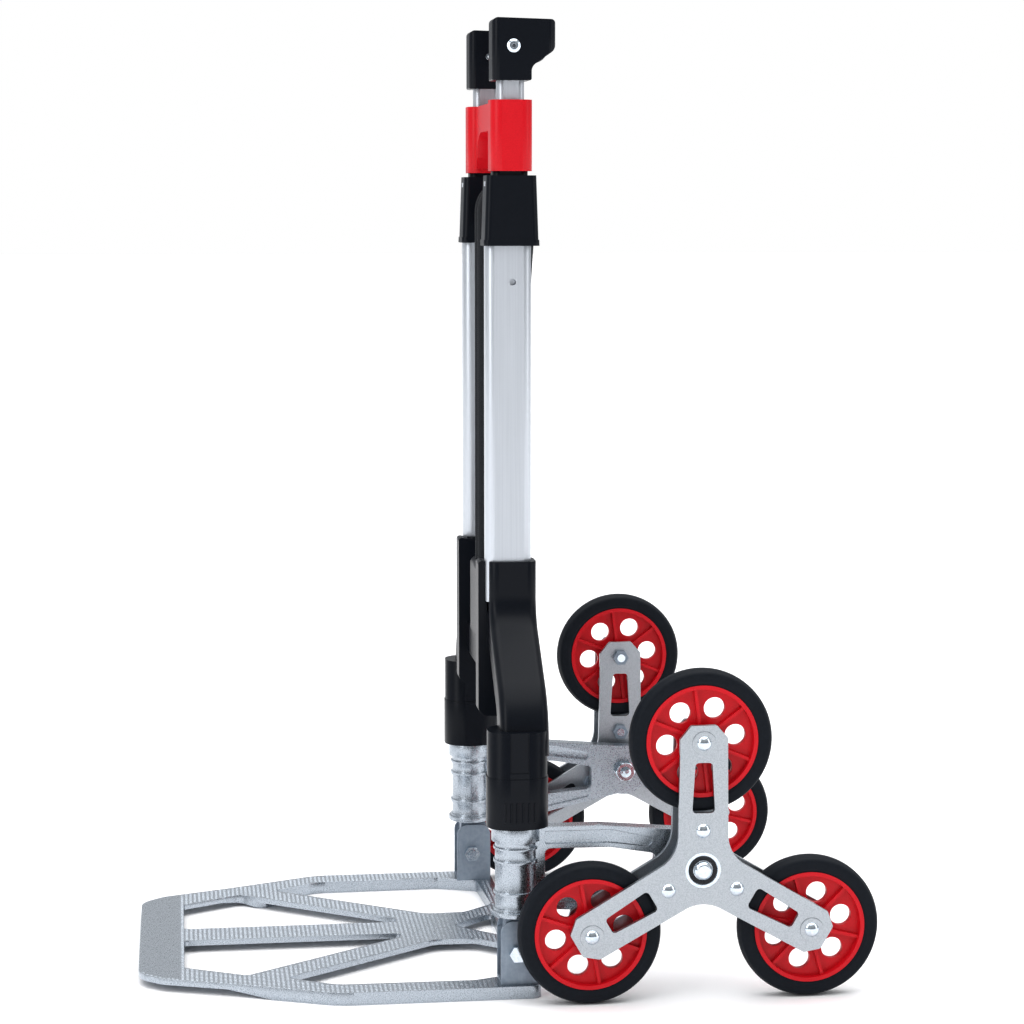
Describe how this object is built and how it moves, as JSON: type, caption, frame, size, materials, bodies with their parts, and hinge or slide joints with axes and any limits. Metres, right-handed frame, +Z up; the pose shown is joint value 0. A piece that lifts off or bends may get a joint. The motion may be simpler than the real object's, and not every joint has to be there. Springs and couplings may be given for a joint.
{
  "type": "stair-climbing hand truck",
  "caption": "Folding hand truck with a telescopic handle, a folding ribbed toe plate and wheel stars that roll up stairs.",
  "frame": {"origin": "centre of the bounding box footprint, on the floor that the wheels and the toe plate stand on", "axes": "+Z up; -Y towards the front lip of the toe plate; +X to the right as seen from the front"},
  "size_m": [0.453, 0.6186, 0.8159],
  "materials": {
    "tube_aluminium": "satin anodised",
    "cast_aluminium": "tumbled cast",
    "star_aluminium": "tumbled cast",
    "zinc_steel": "zinc plated",
    "bright_steel": "polished",
    "black_plastic": "satin moulded",
    "grey_nylon": "moulded",
    "red_plastic": "gloss moulded",
    "tyre_rubber": "matt rubber",
    "grip_rubber": "soft",
    "black_elastic": "woven sheath"
  },
  "bodies": {
    "frame": {"collar_crosspiece": "black_plastic", "elastic_cord_left": "black_elastic", "elastic_cord_right": "black_elastic", "hinge_fasteners": "bright_steel", "knuckle_left": "black_plastic", "knuckle_right": "black_plastic", "lower_crossbar": "black_plastic", "lower_housing_left": "black_plastic", "lower_housing_right": "black_plastic", "outer_tube_left": "tube_aluminium", "outer_tube_right": "tube_aluminium", "pivot_posts": "zinc_steel", "tube_guides": "grey_nylon", "upper_collar_left": "black_plastic", "upper_collar_right": "black_plastic"},
    "handle": {"cap_rivets": "bright_steel", "grip": "grip_rubber", "grip_core": "zinc_steel", "handle_cap_left": "black_plastic", "handle_cap_right": "black_plastic", "inner_tube_left": "tube_aluminium", "inner_tube_right": "tube_aluminium", "tube_end_plugs": "grey_nylon"},
    "release": {"release_bar": "red_plastic"},
    "toe_plate": {"bracket_rivets": "zinc_steel", "toe_bracket_left": "zinc_steel", "toe_bracket_right": "zinc_steel", "toe_plate": "cast_aluminium"},
    "arm_right": {"arm_casting_right": "cast_aluminium", "barrel_bushes_right": "grey_nylon", "star_axle_right": "bright_steel"},
    "star_right": {"star_bearings_right": "bright_steel", "star_bolts_right": "bright_steel", "star_hub_right": "zinc_steel", "star_nuts_right": "zinc_steel", "star_plate_inner_right": "star_aluminium", "star_plate_outer_right": "star_aluminium", "star_spacers_right": "zinc_steel"},
    "wheel_right_top": {"rim_right_top": "red_plastic", "tyre_right_top": "tyre_rubber"},
    "wheel_right_front": {"rim_right_front": "red_plastic", "tyre_right_front": "tyre_rubber"},
    "wheel_right_rear": {"rim_right_rear": "red_plastic", "tyre_right_rear": "tyre_rubber"},
    "arm_left": {"arm_casting_left": "cast_aluminium", "barrel_bushes_left": "grey_nylon", "star_axle_left": "bright_steel"},
    "star_left": {"star_bearings_left": "bright_steel", "star_bolts_left": "bright_steel", "star_hub_left": "zinc_steel", "star_nuts_left": "zinc_steel", "star_plate_inner_left": "star_aluminium", "star_plate_outer_left": "star_aluminium", "star_spacers_left": "zinc_steel"},
    "wheel_left_top": {"rim_left_top": "red_plastic", "tyre_left_top": "tyre_rubber"},
    "wheel_left_front": {"rim_left_front": "red_plastic", "tyre_left_front": "tyre_rubber"},
    "wheel_left_rear": {"rim_left_rear": "red_plastic", "tyre_left_rear": "tyre_rubber"}
  },
  "joints": [
    {"name": "handle_slide", "type": "slide", "parent": "frame", "child": "handle", "axis": [0, 0, 1], "range_m": [0, 0.285]},
    {"name": "release_press", "type": "slide", "parent": "frame", "child": "release", "axis": [0, 0, -1], "range_m": [0, 0.0025], "stiffness_N_per_m": 3000, "springref_m": -0.002},
    {"name": "toe_plate_fold", "type": "hinge", "parent": "frame", "child": "toe_plate", "pos_m": [0, 0.00667, 0.038], "axis": [-1, 0, 0], "range_deg": [0, 90]},
    {"name": "bracket_swing_right", "type": "hinge", "parent": "frame", "child": "arm_right", "pos_m": [0.171, 0.00667, 0.1], "axis": [0, 0, 1], "range_deg": [0, 20]},
    {"name": "star_spin_right", "type": "hinge", "parent": "arm_right", "child": "star_right", "pos_m": [0.2055, 0.15667, 0.1135], "axis": [1, 0, 0], "continuous": true},
    {"name": "wheel_spin_right_top", "type": "hinge", "parent": "star_right", "child": "wheel_right_top", "pos_m": [0.2055, 0.15667, 0.2205], "axis": [1, 0, 0], "continuous": true},
    {"name": "wheel_spin_right_front", "type": "hinge", "parent": "star_right", "child": "wheel_right_front", "pos_m": [0.2055, 0.064, 0.06], "axis": [1, 0, 0], "continuous": true},
    {"name": "wheel_spin_right_rear", "type": "hinge", "parent": "star_right", "child": "wheel_right_rear", "pos_m": [0.2055, 0.24933, 0.06], "axis": [1, 0, 0], "continuous": true},
    {"name": "bracket_swing_left", "type": "hinge", "parent": "frame", "child": "arm_left", "pos_m": [-0.171, 0.00667, 0.1], "axis": [0, 0, -1], "range_deg": [0, 20]},
    {"name": "star_spin_left", "type": "hinge", "parent": "arm_left", "child": "star_left", "pos_m": [-0.2055, 0.15667, 0.1135], "axis": [1, 0, 0], "continuous": true},
    {"name": "wheel_spin_left_top", "type": "hinge", "parent": "star_left", "child": "wheel_left_top", "pos_m": [-0.2055, 0.15667, 0.2205], "axis": [1, 0, 0], "continuous": true},
    {"name": "wheel_spin_left_front", "type": "hinge", "parent": "star_left", "child": "wheel_left_front", "pos_m": [-0.2055, 0.064, 0.06], "axis": [1, 0, 0], "continuous": true},
    {"name": "wheel_spin_left_rear", "type": "hinge", "parent": "star_left", "child": "wheel_left_rear", "pos_m": [-0.2055, 0.24933, 0.06], "axis": [1, 0, 0], "continuous": true}
  ],
  "couplings": [
    {"joint": "bracket_swing_right", "follows": "toe_plate_fold", "ratio": 0.22222},
    {"joint": "bracket_swing_left", "follows": "toe_plate_fold", "ratio": 0.22222}
  ]
}
